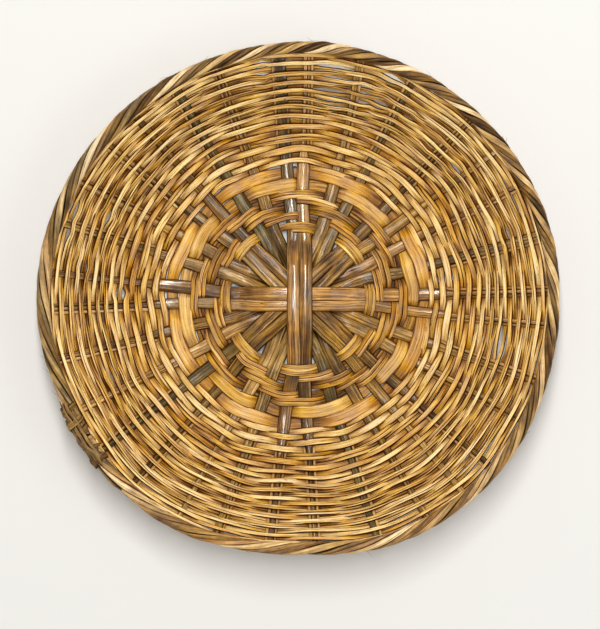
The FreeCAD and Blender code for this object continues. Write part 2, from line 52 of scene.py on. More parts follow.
# true radius of the rim, every 10 degrees
RIM_RADII = np.array([
    240.2, 240.0, 240.0, 240.6, 241.4, 241.8, 242.8, 244.0, 244.6, 244.6, 244.9, 245.8,
    247.6, 249.0, 249.4, 248.8, 247.0, 243.2, 240.1, 241.4, 244.2, 246.0, 245.4, 244.4,
    243.6, 243.2, 244.0, 244.8, 244.4, 243.0, 241.8, 240.6, 239.8, 239.0, 238.8, 239.4])
WALL_ANGLE = math.radians(37.0)
WALL_SLOPE = math.tan(WALL_ANGLE)
DOME_R = 118.0                      # the raised middle of the base ends here
CONE_R = 200.0                      # the wall is straight from here outward
FLOOR_Z = 3.48                      # height of the middle of the weave at its lowest
CANE_T = 3.0                        # thickness of the long canes at the hub
CANE_RIM_T = 2.2                    # and in the wall
DOME_RISE = 4 * CANE_T - 0.2 - FLOOR_Z
STAKE_W = 2.6                       # room for one side stake
STAKE_T = 1.9
STAKE_GAP = 0.45
STRAND_GAP = 0.05                   # between a weaving strand and the cane it crosses
END_STEP = 360 / 32                 # mean angle between cane ends
# radius of the wall spiral after every second turn
WALL_RADII = [127.3, 137.8, 150.6, 162.7, 173.6, 182.6, 191.3, 198.8, 206.6, 214.7, 223.6,
              232.0, 238.6]
WALL_TURNS = 2.0 * np.arange(len(WALL_RADII))
UP = np.array([0.0, 0.0, 1.0])

# Canes lie in pairs across the hub: angle of the axis, layer in the hub stack (0 lowest),
# sideways offset, hub width of the counterclockwise and clockwise cane, hub tone and greyness
Pair = namedtuple("Pair", "axis layer offset ccw_width cw_width tone grey")
PAIRS = {
    "vertical": Pair(359.9, 7, -1.0, 12.0, 12.0, 0.535, 0.20),
    "horizontal": Pair(90.3, 6, -2.4, 12.6, 10.4, 0.55, 0.0),
    "diagonal_045": Pair(47.6, 5, 0.0, 12.0, 11.4, 0.50, 0.06),
    "diagonal_134": Pair(134.2, 4, 0.0, 11.6, 11.8, 0.48, 0.12),
    "diagonal_023": Pair(22.9, 3, 0.0, 11.8, 11.8, 0.50, 0.20),
    "diagonal_069": Pair(69.4, 2, 0.0, 11.4, 11.8, 0.45, 0.16),
    "diagonal_113": Pair(113.1, 1, 0.0, 11.8, 11.6, 0.46, 0.14),
    "diagonal_155": Pair(155.3, 0, 0.0, 11.6, 11.6, 0.43, 0.45),
}
# Cane ends, clockwise: pair, angle at the hub and at the rim, width in the wall, side stakes
# on the counterclockwise and clockwise side, tone, greyness
End = namedtuple("End", "pair hub_angle rim_angle width stakes_ccw stakes_cw tone grey")
ENDS = [End(*row) for row in (
    ("vertical", 354.8, 355.3, 10.5, 1, 0, 0.30, 0.80),
    ("vertical", 2.2, 1.6, 4.4, 0, 2, 0.62, 0.15),
    ("diagonal_023", 17.6, 14.3, 6.0, 0, 1, 0.52, 0.15),
    ("diagonal_023", 27.7, 28.0, 7.0, 1, 0, 0.34, 0.50),
    ("diagonal_045", 44.1, 44.2, 4.4, 1, 1, 0.46, 0.25),
    ("diagonal_045", 53.4, 53.4, 6.4, 0, 0, 0.58, 0.10),
    ("diagonal_069", 63.2, 63.0, 4.4, 0, 1, 0.60, 0.10),
    ("diagonal_069", 76.2, 75.6, 8.8, 0, 1, 0.34, 0.50),
    ("horizontal", 88.3, 88.4, 4.4, 1, 1, 0.50, 0.15),
    ("horizontal", 96.6, 96.0, 4.4, 0, 1, 0.52, 0.10),
    ("diagonal_113", 109.0, 109.6, 7.0, 1, 0, 0.44, 0.30),
    ("diagonal_113", 118.3, 118.3, 6.0, 0, 1, 0.55, 0.10),
    ("diagonal_134", 131.3, 131.2, 6.0, 0, 1, 0.34, 0.35),
    ("diagonal_134", 139.6, 139.8, 7.0, 0, 0, 0.55, 0.10),
    ("diagonal_155", 149.9, 149.8, 7.6, 0, 0, 0.48, 0.20),
    ("diagonal_155", 161.8, 162.0, 7.0, 1, 0, 0.28, 0.85),
    ("vertical", 176.0, 176.0, 5.0, 1, 1, 0.42, 0.30),
    ("vertical", 186.6, 186.6, 5.6, 1, 1, 0.36, 0.30),
    ("diagonal_023", 198.8, 199.3, 8.0, 1, 0, 0.45, 0.30),
    ("diagonal_023", 208.3, 208.6, 5.4, 0, 0, 0.66, 0.05),
    ("diagonal_045", 221.5, 221.8, 6.0, 1, 0, 0.34, 0.35),
    ("diagonal_045", 232.2, 232.0, 7.0, 0, 1, 0.30, 0.75),
    ("diagonal_069", 242.6, 242.8, 8.0, 0, 0, 0.50, 0.10),
    ("diagonal_069", 255.6, 255.8, 6.0, 1, 0, 0.40, 0.30),
    ("horizontal", 267.4, 267.3, 4.4, 1, 1, 0.40, 0.50),
    ("horizontal", 275.4, 275.8, 7.0, 0, 0, 0.36, 0.25),
    ("diagonal_113", 287.6, 287.4, 7.0, 0, 1, 0.40, 0.25),
    ("diagonal_113", 297.9, 297.7, 7.0, 0, 1, 0.50, 0.10),
    ("diagonal_134", 308.8, 309.0, 7.0, 1, 0, 0.40, 0.25),
    ("diagonal_134", 317.7, 318.0, 8.0, 0, 0, 0.36, 0.25),
    ("diagonal_155", 329.4, 329.6, 9.0, 1, 0, 0.26, 0.90),
    ("diagonal_155", 340.7, 340.3, 4.4, 1, 1, 0.50, 0.25),
)]

# Places where two wall rows have drifted apart: angle, half span in degrees, radius, amount
GAPS = [
    (9, 5.8, 206, 2.5), (9, 5, 197, 1.5), (8.5, 5.0, 217, 2.0), (8.5, 5.4, 227, 1.7),
    (17.2, 2.6, 202, 1.4), (17, 2.6, 213, 1.3), (23, 2.4, 232, 1.5), (23, 2.2, 206, 1.2),
    (350.9, 1.6, 222, 1.3), (350.9, 1.6, 230, 1.2), (102.4, 5.0, 201, 1.4),
    (271.6, 2.0, 173, 1.4), (292.6, 2.4, 202, 1.2), (278, 1.8, 212, 0.8),
    (286, 2.0, 233, 0.9), (291.5, 2.2, 234, 0.7), (50.5, 2.6, 199, 1.0), (73, 2.4, 212, 1.4),
    (41, 1.8, 200, 0.7), (31.5, 2.0, 207, 0.9), (247, 2.0, 196, 0.6)]


# ------------------------------------------------------------------ small helpers
def smooth(u):
    u = np.clip(u, 0.0, 1.0)
    return u * u * (3 - 2 * u)


def ease(x, start, stop):
    """Smooth step from 0 at start to 1 at stop; stop may be the smaller one."""
    return smooth((x - start) / (stop - start))


def blend(a, b, amount):
    return a + (b - a) * amount


def apart(a, b):
    """Unsigned angle between two directions."""
    return np.abs((a - b + 180) % 360 - 180)


def unwrap(angle, near):
    return angle + 360 * round((near - angle) / 360.0)


def arc_length(points):
    steps = np.linalg.norm(np.diff(points, axis=0), axis=1)
    return np.concatenate([[0], np.cumsum(steps)])


def rng_for(name):
    return np.random.default_rng(zlib.crc32(name.encode()))


def wobble(run, rng, swell, size):
    """Smooth noise along a strand; run is the distance in mm, swell the length of one swell."""
    run = np.asarray(run, float)
    knots = np.arange(run.min() - 2 * swell, run.max() + 3 * swell, swell)
    values = rng.normal(0, 1, len(knots))
    u = (run - knots[0]) / swell
    i = np.floor(u).astype(int)
    return size * blend(values[i], values[i + 1], smooth(u - i))


# ------------------------------------------------------------------ surface of the weave
def mid_height(r):
    """Height of the middle of the weave: a low dome, a curve upward, a straight cone."""
    r = np.asarray(r, float)
    dome = FLOOR_Z + DOME_RISE * (1 - np.clip(r / DOME_R, 0, 1) ** 2) ** 2
    run = CONE_R - DOME_R
    u = np.clip((r - DOME_R) / run, 0, 1)
    curve = FLOOR_Z + run * WALL_SLOPE * (u ** 3 - u ** 4 / 2)
    return np.where(r < DOME_R, dome, curve + np.maximum(r - CONE_R, 0) * WALL_SLOPE)


RIM_Z = float(mid_height(RIM_R))
RIM_STOP = RIM_R - 5.9 * math.cos(WALL_ANGLE)     # the rope of the rim begins here


def slope(r):
    return mid_height(np.asarray(r) + 0.5) - mid_height(np.asarray(r) - 0.5)


def rim_radius(angle):
    """Catmull-Rom curve through RIM_RADII."""
    u = (np.asarray(angle, float) % 360.0) / 10.0
    i = np.floor(u).astype(int) % 36
    f = u - np.floor(u)
    p0, p1, p2, p3 = (RIM_RADII[(i + k) % 36] for k in (-1, 0, 1, 2))
    bend = 2 * p0 - 5 * p1 + 4 * p2 - p3 + f * (3 * (p1 - p2) + p3 - p0)
    return p1 + 0.5 * f * (p2 - p0 + f * bend)


def on_weave(r, angle, lift=0.0):
    """Points on the weave, lifted along its normals, and the normals."""
    r = np.asarray(r, float)
    a = np.radians(angle)
    true_r = r * (1 + (rim_radius(angle) / RIM_R - 1) * (r / RIM_R) ** 2)
    rise = slope(r)
    normals = np.stack([-rise * np.sin(a), -rise * np.cos(a), np.ones_like(r * a)], -1)
    normals /= np.linalg.norm(normals, axis=-1, keepdims=True)
    points = np.stack([true_r * np.sin(a), true_r * np.cos(a), mid_height(r) + 0 * a], -1)
    return points + normals * np.asarray(lift)[..., None], normals


# ------------------------------------------------------------------ course of the long canes
def is_ccw(end):
    """Whether an end belongs to the counterclockwise cane of its pair, seen from end 0-15."""
    return end % 2 == end // 16


def cane_thick(r):
    return blend(CANE_T, CANE_RIM_T, ease(r, 90, 210))


def squeeze(r):
    """The canes are drawn together where the hub lashing and first twill rows hold them."""
    return 1 - 0.11 * ease(r, 42, 56) * (1 - ease(r, 78, 90))


def cane_width(end, r):
    pair = PAIRS[ENDS[end].pair]
    hub = pair.ccw_width if is_ccw(end) else pair.cw_width
    wall = ENDS[end].width
    return squeeze(r) * blend(hub, wall, ease(r, 126, 158)) - 0.12 * wall * ease(r, 150, 240)


def pair_lift(pair, r):
    """Height over the middle of the weave: stacked at the hub, two layers, then one."""
    layer = PAIRS[pair].layer
    stack = (layer - 3.5) * CANE_T
    near = CANE_T / 2 if layer >= 4 else -CANE_T / 2
    return np.where(r < 60, blend(stack, near, ease(r, 26, 60)), near * (1 - ease(r, 60, 80)))


def cane_side(end):
    """Offset of a cane from its pair's axis, counterclockwise positive."""
    pair = PAIRS[ENDS[end].pair]
    if is_ccw(end):
        return pair.offset + pair.ccw_width / 2 + 0.12
    return pair.offset - pair.cw_width / 2 - 0.12


def cane_angle(end, r):
    """Angle of a cane at a radius: straight across the hub, fanned out beyond it."""
    side = cane_side(end) * squeeze(r)
    off = np.degrees(np.arcsin(np.clip(side / np.maximum(r, abs(side) + 1e-6), -1, 1)))
    axis = PAIRS[ENDS[end].pair].axis
    straight = axis - off if end < 16 else axis + 180 + off
    out = np.clip((r - 105) / 135.0, 0.0, 1.0)
    fan = blend(ENDS[end].hub_angle, ENDS[end].rim_angle, out)
    turn = (fan - straight + 180) % 360 - 180
    return fan - turn * (1 - ease(r, 56, 108))


# ------------------------------------------------------------------ mesh building
# Closed cross-sections: across and up, in half widths and half thicknesses
STRIP = np.array([
    (-0.9, -1), (0, -1.0), (0.9, -1), (1, -0.55), (1, 0.15), (0.93, 0.62), (0.7, 0.9),
    (0.35, 1.0), (0, 1.02), (-0.35, 1.0), (-0.7, 0.9), (-0.93, 0.62), (-1, 0.15), (-1, -0.55)])
HALF_ROUND = np.array([
    (-0.92, -1), (0, -1), (0.92, -1), (1, -0.82), (0.99, -0.35), (0.92, 0.12), (0.78, 0.5),
    (0.56, 0.79), (0.29, 0.96), (0, 1.02), (-0.29, 0.96), (-0.56, 0.79), (-0.78, 0.5),
    (-0.92, 0.12), (-0.99, -0.35), (-1, -0.82)])
ROUND = np.array([(math.cos(t), math.sin(t))
                  for t in np.linspace(0, 2 * math.pi, 6, endpoint=False)])
UNDER_SHIFT = 40.0                  # moves the underside to another part of the texture


def link_object(name, data):
    obj = bpy.data.objects.new(name, data)
    bpy.context.scene.collection.objects.link(obj)
    return obj


class Mesher:
    """Collects strands for one object, with the attributes their materials read."""

    def __init__(self):
        self.points, self.quads, self.caps, self.info, self.strand = [], [], [], [], []
        self.count = 0

    def grid(self, sections, along, across, tone, grey, seed, edge):
        """Add a capped tube from rings (N x K x 3, mm); edge is 1 at the sides of a strand."""
        n, k = sections.shape[:2]
        rows = self.count + np.arange(n - 1)[:, None] * k
        base = rows + np.arange(k)[None, :]
        following = rows + (np.arange(k)[None, :] + 1) % k
        quads = np.stack([base, following, following + k, base + k], -1)
        self.quads.append(quads.reshape(-1, 4))
        for ring, flip in ((0, True), (n - 1, False)):
            ids = self.count + ring * k + np.arange(k)
            cap = np.stack([np.full(k - 2, ids[0]), ids[1:-1], ids[2:]], -1)
            self.caps.append(cap[:, ::-1] if flip else cap)
        self.points.append(sections.reshape(-1, 3))
        one = np.ones((n, k))
        tone, grey = (np.asarray(value).reshape(-1, 1) for value in (tone, grey))
        info = np.stack([one * tone, one * grey, one * seed, one * edge], -1)
        self.info.append(info.reshape(-1, 4))
        strand = np.stack([one * along[:, None], one * across, one * (seed * 37.0)], -1)
        self.strand.append(strand.reshape(-1, 3))
        self.count += n * k

    def sweep(self, path, normals, *, width, thick, section, tone, grey, seed,
              roll=0.0, ridge=0.0, rng=None):
        """Add one strand along a path; ridge is the unevenness of its upper face."""
        n = len(path)
        width, thick, roll = (np.broadcast_to(np.asarray(value, float), (n,))
                              for value in (width, thick, roll))
        tangent = np.gradient(path, axis=0)
        tangent /= np.linalg.norm(tangent, axis=1, keepdims=True)
        side = np.cross(normals, tangent)
        side /= np.linalg.norm(side, axis=1, keepdims=True)
        face = np.cross(tangent, side)
        c, s = np.cos(roll)[:, None], np.sin(roll)[:, None]
        side, face = side * c + face * s, face * c - side * s
        run = arc_length(path)
        x, y = section.T
        height = np.repeat(y[None, :], n, 0)
        if ridge:
            upper = np.maximum(y, 0)
            height = height + upper * rng.normal(0, ridge, len(y))
            waves = [wobble(run, rng, 22.0, ridge * 0.7) for _ in y]
            height = height + upper * np.stack(waves, 1)
        half = width[:, None] / 2
        rings = path[:, None, :] + side[:, None, :] * (x * half)[:, :, None] \
            + face[:, None, :] * (height * thick[:, None] / 2)[:, :, None]
        across = x * half + np.where(y < 0, UNDER_SHIFT, 0.0)
        self.grid(rings, run + seed * 900.0, across, tone, grey, seed, np.abs(x))

    def build(self, name, material, node=None, slot=None):
        """Make the object; it replaces a CAD node, whose part is then hidden. slot is not used."""
        mesh = bpy.data.meshes.new(name)
        points = np.concatenate(self.points) * 0.001
        points[:, 2] = np.maximum(points[:, 2], 0.0)
        quads, caps = np.concatenate(self.quads), np.concatenate(self.caps)
        mesh.vertices.add(len(points))
        mesh.vertices.foreach_set("co", points.astype(np.float32).ravel())
        corners = np.concatenate([quads.ravel(), caps.ravel()])
        mesh.loops.add(len(corners))
        mesh.loops.foreach_set("vertex_index", corners.astype(np.int32))
        mesh.polygons.add(len(quads) + len(caps))
        starts = np.concatenate([np.arange(len(quads)) * 4,
                                 quads.size + np.arange(len(caps)) * 3])
        mesh.polygons.foreach_set("loop_start", starts.astype(np.int32))
        is_smooth = np.arange(len(starts)) < len(quads)
        mesh.polygons.foreach_set("use_smooth", is_smooth)
        mesh.update(calc_edges=True)
        mesh.validate()
        for attribute, kind, field, values in (("info", "FLOAT_COLOR", "color", self.info),
                                               ("strand", "FLOAT_VECTOR", "vector", self.strand)):
            data = mesh.attributes.new(attribute, kind, "POINT").data
            data.foreach_set(field, np.concatenate(values).astype(np.float32).ravel())
        obj = link_object(name, mesh)
        mesh.materials.append(material)
        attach(obj, "root")
        if node:
            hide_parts(node)


# ------------------------------------------------------------------ materials
class Nodes:
    """A material and short ways to add nodes to it."""

    def __init__(self, name):
        self.material = bpy.data.materials.new(name)
        self.material.use_nodes = True
        self.tree = self.material.node_tree
        self.tree.nodes.clear()

    def add(self, kind, inputs=None, **props):
        node = self.tree.nodes.new(kind)
        for key, value in props.items():
            setattr(node, key, value)
        for key, value in (inputs or {}).items():
            self.put(node, key, value)
        return node

    def put(self, node, key, value):
        if isinstance(value, bpy.types.NodeSocket):
            self.tree.links.new(value, node.inputs[key])
        else:
            node.inputs[key].default_value = value

    def math(self, operation, *values, clamp=False):
        return self.add("ShaderNodeMath", dict(enumerate(values)), operation=operation,
                        use_clamp=clamp).outputs[0]

    def remap(self, value, low, high, to_low=0.0, to_high=1.0):
        inputs = {"Value": value, "From Min": low, "From Max": high,
                  "To Min": to_low, "To Max": to_high}
        return self.add("ShaderNodeMapRange", inputs, interpolation_type="SMOOTHSTEP").outputs[0]

    def mix(self, amount, a, b, mode="MIX"):
        return self.add("ShaderNodeMix", {0: amount, 6: a, 7: b}, data_type="RGBA",
                        blend_type=mode).outputs[2]

    def ramp(self, value, stops):
        node = self.add("ShaderNodeValToRGB", {"Fac": value})
        elements = node.color_ramp.elements
        while len(elements) < len(stops):
            elements.new(0.5)
        for element, (position, colour) in zip(elements, stops):
            element.position = position
            element.color = (*colour, 1)
        return node.outputs[0]


# Colour ramps from dark to light: position, colour
GOLD = [(0.0, (0.030, 0.008, 0.0008)), (0.22, (0.125, 0.042, 0.004)),
        (0.42, (0.330, 0.145, 0.019)), (0.60, (0.560, 0.295, 0.058)),
        (0.78, (0.780, 0.490, 0.140)), (1.0, (0.960, 0.760, 0.380))]
BROWN = [(0.0, (0.020, 0.006, 0.0006)), (0.25, (0.095, 0.038, 0.0045)),
         (0.45, (0.240, 0.118, 0.021)), (0.62, (0.430, 0.235, 0.058)),
         (0.8, (0.640, 0.395, 0.140)), (1.0, (0.900, 0.700, 0.400))]
WEATHERED = [(0.0, (0.018, 0.006, 0.001)), (0.25, (0.090, 0.038, 0.007)),
             (0.45, (0.235, 0.122, 0.034)), (0.62, (0.425, 0.250, 0.082)),
             (0.8, (0.645, 0.428, 0.178)), (1.0, (0.920, 0.755, 0.470))]
GREY = [(0.0, (0.014, 0.009, 0.002)), (0.3, (0.075, 0.055, 0.016)),
        (0.5, (0.160, 0.122, 0.044)), (0.7, (0.310, 0.238, 0.118)),
        (1.0, (0.600, 0.485, 0.300))]


def cane_material(name, ramp, fibre=0.34, streak=0.42, blotch=0.30, crack=0.45,
                  rough=(0.45, 0.68), coat=0.0, coat_rough=0.22, bump=0.6, spec=0.2,
                  edge_shade=0.50, edge_from=0.78, shade=0.95, shade_reach=0.0065,
                  shade_low=0.10):
    """Cane; fibre to crack are contrasts, rough is (least, most), shade is the strength of the
    shade painted into crevices.
    """
    g = Nodes(name)
    info = g.add("ShaderNodeAttribute", attribute_name="info")
    parts = g.add("ShaderNodeSeparateColor", {"Color": info.outputs["Color"]}).outputs
    tone, grey, seed = parts[0], parts[1], parts[2]
    edge = info.outputs["Alpha"]
    strand = g.add("ShaderNodeAttribute", attribute_name="strand").outputs["Vector"]

    def grain(scale, detail, roughness=0.55):
        """Noise in strand space: along, across, per strand."""
        vector = g.add("ShaderNodeVectorMath", {0: strand, 1: scale}, operation="MULTIPLY")
        return g.add("ShaderNodeTexNoise", {"Vector": vector.outputs[0], "Scale": 1.0,
                                            "Detail": detail, "Roughness": roughness}).outputs[0]

    fibres = grain((0.035, 1.15, 1.0), detail=4.0, roughness=0.62)
    streaks = grain((0.009, 0.55, 1.0), detail=2.5)
    splits = grain((0.018, 1.15, 0.7), detail=1.0)
    blotches = grain((0.05, 0.05, 1.0), detail=3.0)
    position = g.add("ShaderNodeNewGeometry").outputs["Position"]
    specks = g.add("ShaderNodeTexNoise", {"Vector": position, "Scale": 900.0, "Detail": 2.0,
                                          "Roughness": 0.6}).outputs[0]
    # thin lines where the split noise passes through its middle value
    off_line = g.math("ABSOLUTE", g.math("SUBTRACT", splits, 0.5))
    split = g.math("SUBTRACT", 1.0, g.remap(off_line, 0.004, 0.022))

    # lightness: the strand's tone, varied by every noise, darker in splits, with painted shade at
    # the edges
    light = tone
    for noise, gain in ((fibres, fibre * 2.2), (streaks, streak * 2.0),
                        (blotches, blotch * 2.0), (specks, 0.10)):
        swing = g.math("MULTIPLY", g.math("SUBTRACT", noise, 0.5), gain)
        light = g.math("ADD", light, swing)
    light = g.math("SUBTRACT", light, g.math("MULTIPLY", split, crack * 0.8))
    # painted shade along the sides of each strand, where it meets its neighbours
    painted_edge_shade = g.math("MULTIPLY", g.remap(edge, edge_from, 1.0), edge_shade)
    light = g.math("MAXIMUM", g.math("SUBTRACT", light, painted_edge_shade), 0.0)

    # colour: warm ramp greyed where weathered, with a small hue shift per strand
    warm = g.ramp(light, ramp)
    cold = g.ramp(light, GREY)
    patchy = g.remap(streaks, 0.28, 0.62, to_low=0.55, to_high=1.15)
    colour = g.mix(g.math("MULTIPLY", grey, patchy, clamp=True), warm, cold)
    saturation = g.remap(blotches, 0.3, 0.7, to_low=0.88, to_high=1.10)
    hue = g.math("ADD", 0.4890, g.math("MULTIPLY", seed, 0.0135))
    colour = g.add("ShaderNodeHueSaturation", {"Hue": hue, "Saturation": saturation, "Value": 1.0,
                                               "Fac": 1.0, "Color": colour}).outputs[0]

    # painted shade where strands meet: an occlusion node darkens the colour towards dark brown
    occlusion = g.add("ShaderNodeAmbientOcclusion", {"Distance": shade_reach}, samples=6)
    opened = g.remap(occlusion.outputs["AO"], shade_low, 0.86)
    crevice_shade_tint = g.mix(opened, (0.32, 0.100, 0.008, 1), (1, 1, 1, 1))
    colour = g.mix(shade, colour, g.mix(1.0, colour, crevice_shade_tint, "MULTIPLY"))

    roughness = g.remap(fibres, 0.3, 0.7, to_low=rough[1], to_high=rough[0])
    height = g.math("ADD", g.math("MULTIPLY", fibres, 0.6), g.math("MULTIPLY", split, -0.75))
    skin = g.add("ShaderNodeBump", {"Strength": bump, "Distance": 0.00028, "Height": height})
    cane = g.add("ShaderNodeBsdfPrincipled", {
        "Base Color": colour, "Roughness": roughness, "Normal": skin.outputs[0],
        "Specular IOR Level": spec, "Specular Tint": (1.0, 0.82, 0.56, 1)})
    if coat:
        varnish = g.add("ShaderNodeBump", {"Strength": bump * 0.5, "Distance": 0.0002,
                                           "Height": height})
        for key, value in (("Coat Weight", coat), ("Coat Roughness", coat_rough),
                           ("Coat Tint", (1.0, 0.93, 0.80, 1)),
                           ("Coat Normal", varnish.outputs[0])):
            g.put(cane, key, value)
    g.add("ShaderNodeOutputMaterial", {0: cane.outputs[0]})
    return g.material


CANE_SKIN = cane_material(
    "cane_skin", BROWN, fibre=0.50, streak=0.56, blotch=0.40, crack=1.1, rough=(0.38, 0.60),
    coat=0.28, bump=0.9, edge_shade=0.60, coat_rough=0.18)
GLOSSY_SKIN = cane_material(
    "cane_skin_glossy", BROWN, fibre=0.46, streak=0.60, blotch=0.36, crack=1.1,
    rough=(0.26, 0.46), coat=1.0, bump=0.55, edge_shade=0.42, coat_rough=0.12)
STAKE_CANE = cane_material(
    "stake_cane", BROWN, fibre=0.30, streak=0.3, crack=0.25, rough=(0.36, 0.55), coat=0.25,
    edge_shade=0.40)
WEAVER_CANE = cane_material(
    "weaver_cane", GOLD, fibre=0.42, crack=0.85, edge_shade=0.95, shade_reach=0.0050,
    shade_low=0.14, spec=0.10, edge_from=0.66)
TWILL_CANE = cane_material(
    "twill_cane", GOLD, crack=0.6, coat=0.06, edge_shade=0.80, edge_from=0.74)
RIBBON_CANE = cane_material(
    "ribbon_cane", GOLD, fibre=0.28, streak=0.34, blotch=0.24, crack=0.40, rough=(0.38, 0.6),
    coat=0.06, edge_shade=0.36)
RIM_CANE = cane_material(
    "rim_cane", WEATHERED, fibre=0.30, streak=0.30, blotch=0.46, crack=0.30, rough=(0.45, 0.7),
    edge_shade=0.80, coat=0.06, shade_reach=0.0050, shade_low=0.18)
LOOSE_FIBRE = cane_material("loose_fibre", BROWN, shade=0.0)

# ------------------------------------------------------------------ long canes
ARM_RADII = np.concatenate([np.linspace(RIM_STOP + 2.5, 130, 46), np.linspace(128, 18, 46)])
# canes that widen between 145 and 170 mm along an axis (0 is X, 1 is Y): axis, extra width
FLARES = {"cane_vertical_ccw": (1, 0.30), "cane_diagonal_069_cw": (0, 0.18)}


def cane_arm(end, radii):
    """Points, normals, widths, thicknesses, tones and greys from rim to hub."""
    look, pair = ENDS[end], PAIRS[ENDS[end].pair]
    lift = pair_lift(look.pair, radii)
    points, normals = on_weave(radii, cane_angle(end, radii), lift)
    out = ease(radii, 40, 85)
    return (points, normals, cane_width(end, radii), cane_thick(radii),
            blend(pair.tone, look.tone, out), blend(pair.grey, look.grey, out))


def cane_middle(end):
    """The same columns for the straight stretch over the centre."""
    pair = PAIRS[ENDS[end].pair]
    axis = math.radians(pair.axis)
    side = cane_side(end)
    steps = np.linspace(14, -14, 9)
    points = np.stack([math.sin(axis) * steps - math.cos(axis) * side,
                       math.cos(axis) * steps + math.sin(axis) * side,
                       mid_height(abs(steps)) + pair_lift(ENDS[end].pair, 0.0)], 1)
    one = np.ones(len(steps))
    return (points, np.outer(one, UP), one * cane_width(end, 0.0), one * CANE_T,
            one * pair.tone, one * pair.grey)


def build_cane(first):
    """One cane from rim to rim; first is its end among 0-15."""
    pair = ENDS[first].pair
    name = "cane_%s_%s" % (pair, "ccw" if is_ccw(first) else "cw")
    rng = rng_for(name)
    last = next(e for e in range(16, 32)
                if ENDS[e].pair == pair and is_ccw(e) == is_ccw(first))
    pieces = (cane_arm(first, ARM_RADII), cane_middle(first), cane_arm(last, ARM_RADII[::-1]))
    points, normals, width, thick, tone, grey = map(np.concatenate, zip(*pieces))
    r = np.hypot(points[:, 0], points[:, 1])
    # part of the squeeze shows as overlap, so the drawn cane is a little wider
    width = width / squeeze(r) * (1.045 + 0.085 * ease(r, 34, 52) * (1 - ease(r, 92, 117)))
    run = arc_length(points)
    width = width * (1 + wobble(run, rng, 30, 0.03)) * (1 + 0.03 * ease(r, 120, 90))
    if name in FLARES:
        axis, extra = FLARES[name]
        width = width * (1 + extra * ease(points[:, axis], 145, 170))
    tone = tone + 0.03 - 0.045 * ease(r, 96, 76) + rng.normal(0, 0.03)
    tone = tone + wobble(run, rng, 55, 0.06)
    roll = wobble(run, rng, 60, 0.03)
    for axis in (0, 1):
        points[:, axis] += wobble(run, rng, 60, 0.10)
    cane = Mesher()
    cane.sweep(points, normals, width=width, thick=thick * 1.02, section=HALF_ROUND, tone=tone,
               grey=grey, seed=rng.random(), roll=roll, ridge=0.11, rng=rng)
    glossy = pair in ("vertical", "horizontal")
    cane.build(name + "_look", GLOSSY_SKIN if glossy else CANE_SKIN, name)


for first in range(16):
    build_cane(first)


# ------------------------------------------------------------------ side stakes
def add_stake(mesh, end, side, k):
    """The k-th stake beside a cane end; side is -1 counterclockwise, 1 clockwise."""
    rng = rng_for("stake%d%d%d" % (end, side, k))
    r = np.linspace(141.0 + rng.uniform(0, 8), RIM_STOP + 2.0, 60)
    off = cane_width(end, r) / 2 + STAKE_GAP + STAKE_W / 2 + k * (STAKE_W + STAKE_GAP)
    points, normals = on_weave(r, cane_angle(end, r) + side * np.degrees(off / r), -0.1)
    run = r - r[0]
    width = 2.95 * (1 + wobble(run, rng, 25, 0.06)) * ease(run, -6, 6)
    tone = 0.66 + rng.normal(0, 0.06) - (0.16 if rng.random() < 0.3 else 0)
    mesh.sweep(points, normals, width=width, thick=STAKE_T * 0.98, section=HALF_ROUND,
               tone=tone + wobble(run, rng, 30, 0.03), grey=0.10, seed=rng.random(),
               roll=wobble(run, rng, 40, 0.06), ridge=0.05, rng=rng)


def build_side_stakes():
    """One object for each quarter of the basket."""
    quarters = {where: Mesher() for where in ("top", "right", "bottom", "left")}
    for e, end in enumerate(ENDS):
        mesh = list(quarters.values())[int(((end.hub_angle + 45) % 360) // 90)]
        for side, count in ((-1, end.stakes_ccw), (1, end.stakes_cw)):
            for k in range(count):
                add_stake(mesh, e, side, k)
    for where, mesh in quarters.items():
        mesh.build("side_stakes_%s_look" % where, STAKE_CANE, "side_stakes_" + where)


build_side_stakes()

# ------------------------------------------------------------------ weaving
# A place where a strand passes a cane: angle, radius, half angle it keeps its level,
# lift, over the cane (1) or under it (-1)
Stop = namedtuple("Stop", "angle radius held lift over")


def thread(stops, cross=7):
    """Dense angle, radius, lift and over arrays through the stops."""
    level = np.linspace(-1, 1, 5)
    f = np.linspace(0, 1, cross + 2)[1:-1]
    rows = []
    for here, there in zip(stops, stops[1:] + [None]):
        rows.append([here.angle + here.held * level, here.radius + 0 * level,
                     here.lift + 0 * level, here.over * (1 - 0.10 * level ** 2)])
        if there:
            rows.append([blend(here.angle + here.held, there.angle - there.held, f),
                         blend(here.radius, there.radius, smooth(f)),
                         blend(here.lift, there.lift, smooth(f)),
                         0.9 * blend(here.over, there.over, smooth(f))])
    return np.concatenate(rows, axis=1)


def lift_at(end, r, over, thick):
    half = cane_thick(r) / 2 + thick / 2 + STRAND_GAP
    return pair_lift(ENDS[end].pair, r) + (half if over else -half)


# waves around the basket: count, change with radius, phase
WAVES = [(rng_for("field%d" % k).integers(3, 24), rng_for("fm%d" % k).uniform(-1.2, 1.2),
          rng_for("fp%d" % k).uniform(0, 6.28)) for k in range(14)]


def shared_drift(angle, radius):
    """Slow sideways drift shared by neighbouring rows, so that they stay packed."""
    a = np.radians(angle)
    total = sum(np.sin(n * a + m * radius / 9.0 + phase) for n, m, phase in WAVES)
    return total / math.sqrt(len(WAVES) / 2.0)


